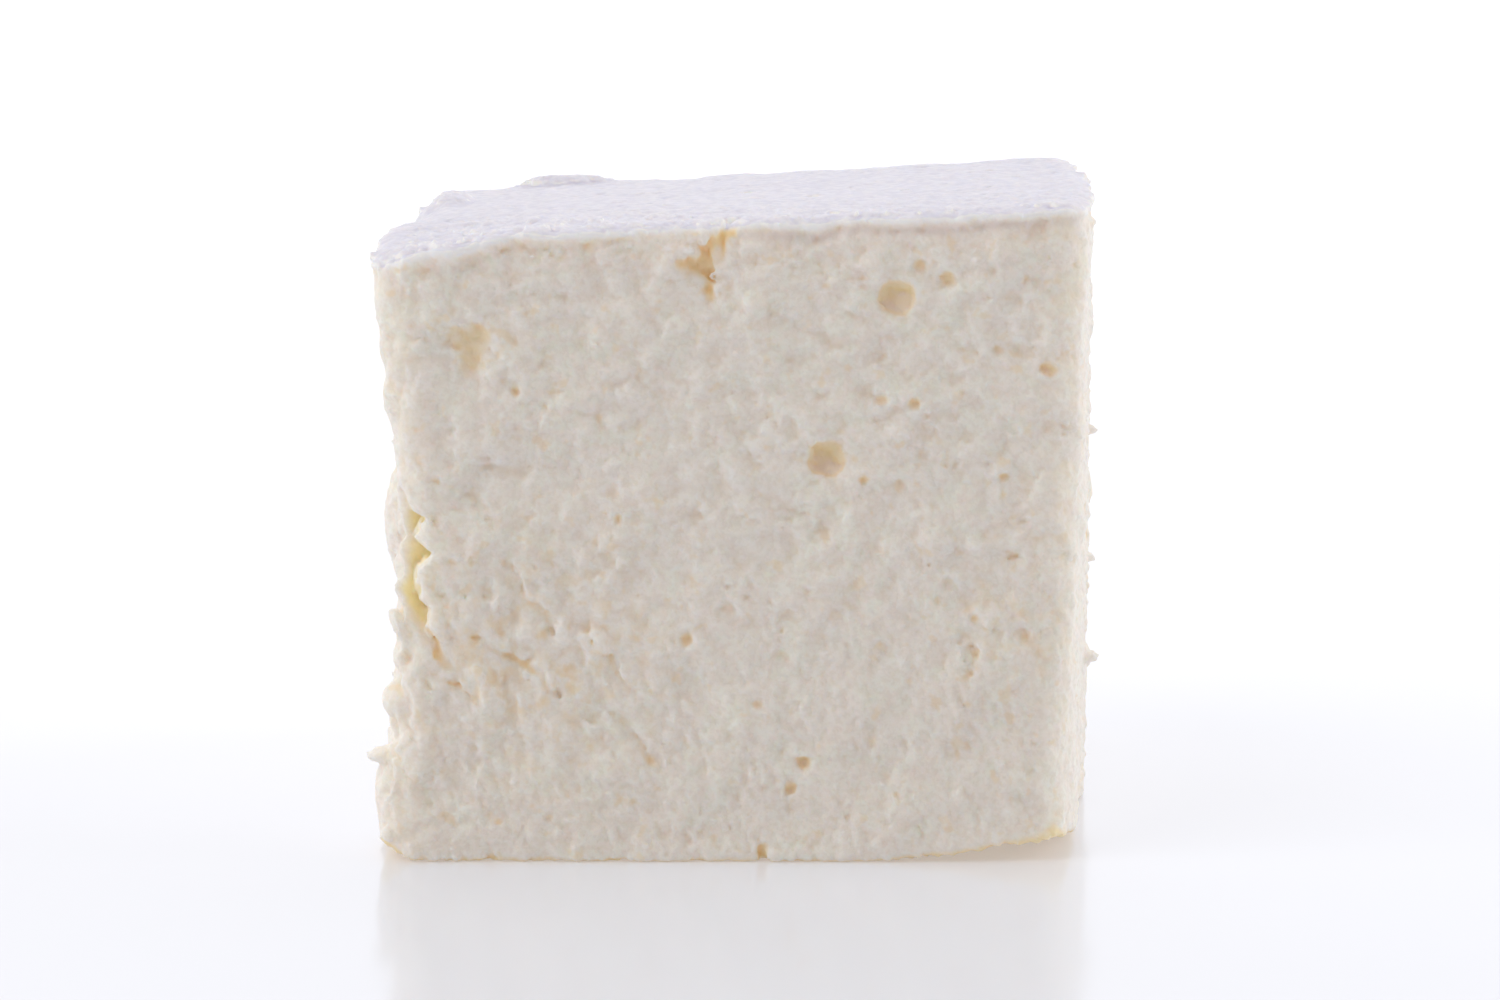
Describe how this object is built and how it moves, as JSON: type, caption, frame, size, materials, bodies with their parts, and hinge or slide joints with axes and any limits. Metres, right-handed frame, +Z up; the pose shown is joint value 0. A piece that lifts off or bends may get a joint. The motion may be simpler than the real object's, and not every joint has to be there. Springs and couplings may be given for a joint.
{
  "type": "marshmallow",
  "caption": "Cube of home-made marshmallow, cut from a slab: pale airy foam with opened bubbles, torn edges and a powdered top skin.",
  "frame": {"origin": "middle of the flat base it rests on", "axes": "+Z up from the base, +X to the right as seen from the front cut, +Y away from the front cut"},
  "size_m": [0.0411, 0.0392, 0.0363],
  "materials": {
    "foam": "soft matte sugar foam, warm white, powdered skin on top"
  },
  "bodies": {
    "root": {"marshmallow": "foam"}
  },
  "joints": []
}
